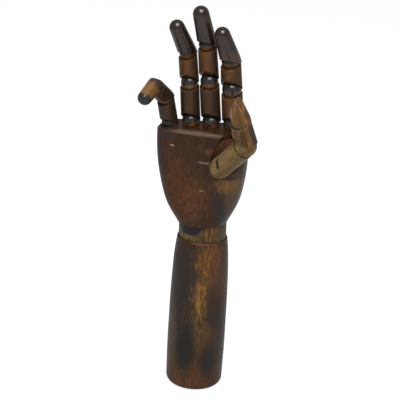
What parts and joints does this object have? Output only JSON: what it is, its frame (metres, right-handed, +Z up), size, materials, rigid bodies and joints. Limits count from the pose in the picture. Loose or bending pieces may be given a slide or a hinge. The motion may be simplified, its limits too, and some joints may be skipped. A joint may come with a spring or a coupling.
{
  "type": "jointed wooden hand mannequin",
  "caption": "Jointed right-hand mannequin of dark varnished wood on a round forearm, with ball joints in every finger and the thumb and a tilting wrist.",
  "frame": {"origin": "centre of the forearm's flat base ring, on the surface it stands on", "axes": "+Z up along the forearm, -Y the palm side, +X the thumb side"},
  "size_m": [0.0997, 0.0819, 0.3473],
  "materials": {
    "forearm_wood": "dark walnut varnish, glossy, streaked",
    "palm_wood": "dark red-brown varnish, glossy, worn at the edges",
    "finger_wood": "orange-brown varnish, worn in front",
    "thumb_wood": "yellow-tan worn varnish",
    "ball_wood": "dark varnish rubbed to ochre",
    "steel": "plain zinc-coated steel"
  },
  "bodies": {
    "forearm": {"forearm": "forearm_wood", "base_plug": "forearm_wood"},
    "wrist_rod": {"wrist_rod": "steel", "wrist_washer": "steel", "wrist_nut": "steel"},
    "wrist_ball": {"wrist_ball": "ball_wood", "wrist_tilt_pin": "steel", "wrist_bend_pin": "steel"},
    "palm": {"palm": "palm_wood", "palm_tie": "steel"},
    "index_knuckle": {"index_knuckle": "ball_wood"},
    "index_first_bone": {"index_first_bone": "finger_wood", "index_knuckle_hinge": "steel", "index_middle_ball": "ball_wood"},
    "index_second_bone": {"index_second_bone": "finger_wood", "index_middle_hinge": "steel", "index_end_ball": "ball_wood"},
    "index_end_bone": {"index_end_bone": "finger_wood", "index_end_hinge": "steel"},
    "middle_knuckle": {"middle_knuckle": "ball_wood"},
    "middle_first_bone": {"middle_first_bone": "finger_wood", "middle_knuckle_hinge": "steel", "middle_middle_ball": "ball_wood"},
    "middle_second_bone": {"middle_second_bone": "finger_wood", "middle_middle_hinge": "steel", "middle_end_ball": "ball_wood"},
    "middle_end_bone": {"middle_end_bone": "finger_wood", "middle_end_hinge": "steel"},
    "ring_knuckle": {"ring_knuckle": "ball_wood"},
    "ring_first_bone": {"ring_first_bone": "finger_wood", "ring_knuckle_hinge": "steel", "ring_middle_ball": "ball_wood"},
    "ring_second_bone": {"ring_second_bone": "finger_wood", "ring_middle_hinge": "steel", "ring_end_ball": "ball_wood"},
    "ring_end_bone": {"ring_end_bone": "finger_wood", "ring_end_hinge": "steel"},
    "little_knuckle": {"little_knuckle": "ball_wood"},
    "little_first_bone": {"little_first_bone": "finger_wood", "little_knuckle_hinge": "steel", "little_middle_ball": "ball_wood"},
    "little_second_bone": {"little_second_bone": "finger_wood", "little_middle_hinge": "steel", "little_end_ball": "ball_wood"},
    "little_end_bone": {"little_end_bone": "finger_wood", "little_end_hinge": "steel"},
    "thumb_stud": {"thumb_stud": "steel"},
    "thumb_first_bone": {"thumb_first_bone": "thumb_wood", "thumb_root_pin": "steel", "thumb_middle_ball": "ball_wood"},
    "thumb_second_bone": {"thumb_second_bone": "thumb_wood", "thumb_middle_hinge": "steel", "thumb_end_ball": "ball_wood"},
    "thumb_end_bone": {"thumb_end_bone": "thumb_wood", "thumb_end_hinge": "steel"}
  },
  "joints": [
    {"name": "wrist_turn", "type": "hinge", "parent": "forearm", "child": "wrist_rod", "pos_m": [0, 0, 0.14335], "axis": [0, 0, 1], "range_deg": [-60, 60]},
    {"name": "wrist_tilt", "type": "hinge", "parent": "wrist_rod", "child": "wrist_ball", "pos_m": [0, 0, 0.14335], "axis": [0, 1, 0], "range_deg": [-6, 10]},
    {"name": "wrist_bend", "type": "hinge", "parent": "wrist_ball", "child": "palm", "pos_m": [-0.00047, 0, 0.15694], "axis": [0.9994, 0, 0.0349], "range_deg": [-19.6, 8.4]},
    {"name": "index_swivel", "type": "hinge", "parent": "palm", "child": "index_knuckle", "pos_m": [0.02175, -0.00487, 0.24843], "axis": [-0.0347, -0.0976, 0.9946], "range_deg": [-10, 6]},
    {"name": "index_knuckle_bend", "type": "hinge", "parent": "index_knuckle", "child": "index_first_bone", "pos_m": [0.02175, -0.00487, 0.24843], "axis": [0.9662, -0.2576, 0.0085], "range_deg": [-4.7, 46.3]},
    {"name": "index_middle_bend", "type": "hinge", "parent": "index_first_bone", "child": "index_second_bone", "pos_m": [0.02002, -0.01033, 0.2789], "axis": [0.9662, -0.2576, 0.0085], "range_deg": [-0.5, 53.5]},
    {"name": "index_end_bend", "type": "hinge", "parent": "index_second_bone", "child": "index_end_bone", "pos_m": [0.01859, -0.0149, 0.30323], "axis": [0.9377, -0.3473, -0.0101], "range_deg": [-21.8, 44.2]},
    {"name": "middle_swivel", "type": "hinge", "parent": "palm", "child": "middle_knuckle", "pos_m": [0.00286, -0.00487, 0.24777], "axis": [-0.0347, -0.0976, 0.9946], "range_deg": [-12, 6]},
    {"name": "middle_knuckle_bend", "type": "hinge", "parent": "middle_knuckle", "child": "middle_first_bone", "pos_m": [0.00286, -0.00487, 0.24777], "axis": [0.9684, -0.2492, 0.0094], "range_deg": [-5.3, 46.7]},
    {"name": "middle_middle_bend", "type": "hinge", "parent": "middle_first_bone", "child": "middle_second_bone", "pos_m": [0.00075, -0.0117, 0.28377], "axis": [0.9684, -0.2492, 0.0094], "range_deg": [-0.5, 53.5]},
    {"name": "middle_end_bend", "type": "hinge", "parent": "middle_second_bone", "child": "middle_end_bone", "pos_m": [-0.00118, -0.01802, 0.31559], "axis": [0.9436, -0.3309, -0.0084], "range_deg": [-13, 53]},
    {"name": "ring_swivel", "type": "hinge", "parent": "palm", "child": "ring_knuckle", "pos_m": [-0.01523, -0.00487, 0.24714], "axis": [-0.0347, -0.0976, 0.9946], "range_deg": [-12, 6]},
    {"name": "ring_knuckle_bend", "type": "hinge", "parent": "ring_knuckle", "child": "ring_first_bone", "pos_m": [-0.01523, -0.00487, 0.24714], "axis": [0.9684, -0.2492, 0.0094], "range_deg": [-2.7, 49.3]},
    {"name": "ring_middle_bend", "type": "hinge", "parent": "ring_first_bone", "child": "ring_second_bone", "pos_m": [-0.01679, -0.00968, 0.28046], "axis": [0.9684, -0.2492, 0.0094], "range_deg": [-2.8, 51.2]},
    {"name": "ring_end_bend", "type": "hinge", "parent": "ring_second_bone", "child": "ring_end_bone", "pos_m": [-0.01834, -0.01472, 0.30653], "axis": [0.9491, -0.3148, -0.0045], "range_deg": [-26.3, 39.7]},
    {"name": "little_swivel", "type": "hinge", "parent": "palm", "child": "little_knuckle", "pos_m": [-0.03293, -0.00863, 0.24384], "axis": [-0.0347, -0.0976, 0.9946], "range_deg": [-12, 6]},
    {"name": "little_knuckle_bend", "type": "hinge", "parent": "little_knuckle", "child": "little_first_bone", "pos_m": [-0.03293, -0.00863, 0.24384], "axis": [0.9783, -0.2069, 0.0139], "range_deg": [-14.8, 29.2]},
    {"name": "little_middle_bend", "type": "hinge", "parent": "little_first_bone", "child": "little_second_bone", "pos_m": [-0.03508, -0.01724, 0.26732], "axis": [0.9783, -0.2069, 0.0139], "range_deg": [-34.4, 19.6]},
    {"name": "little_end_bend", "type": "hinge", "parent": "little_second_bone", "child": "little_end_bone", "pos_m": [-0.03895, -0.03469, 0.27979], "axis": [0.9783, -0.2069, 0.0139], "range_deg": [-61, 5]},
    {"name": "thumb_twist", "type": "hinge", "parent": "palm", "child": "thumb_stud", "pos_m": [0.0171, -0.01804, 0.21249], "axis": [0.5914, -0.4478, 0.6706], "range_deg": [-20, 20]},
    {"name": "thumb_swing", "type": "hinge", "parent": "thumb_stud", "child": "thumb_first_bone", "pos_m": [0.0171, -0.01804, 0.21249], "axis": [0.2565, 0.8929, 0.37], "range_deg": [-16, 2.5]},
    {"name": "thumb_middle_bend", "type": "hinge", "parent": "thumb_first_bone", "child": "thumb_second_bone", "pos_m": [0.04092, -0.03608, 0.2395], "axis": [0.2565, 0.8929, 0.37], "range_deg": [-5.42, 46.58]},
    {"name": "thumb_end_bend", "type": "hinge", "parent": "thumb_second_bone", "child": "thumb_end_bone", "pos_m": [0.03733, -0.04432, 0.26187], "axis": [0.2565, 0.8929, 0.37], "range_deg": [-55.4, 4.6]}
  ]
}
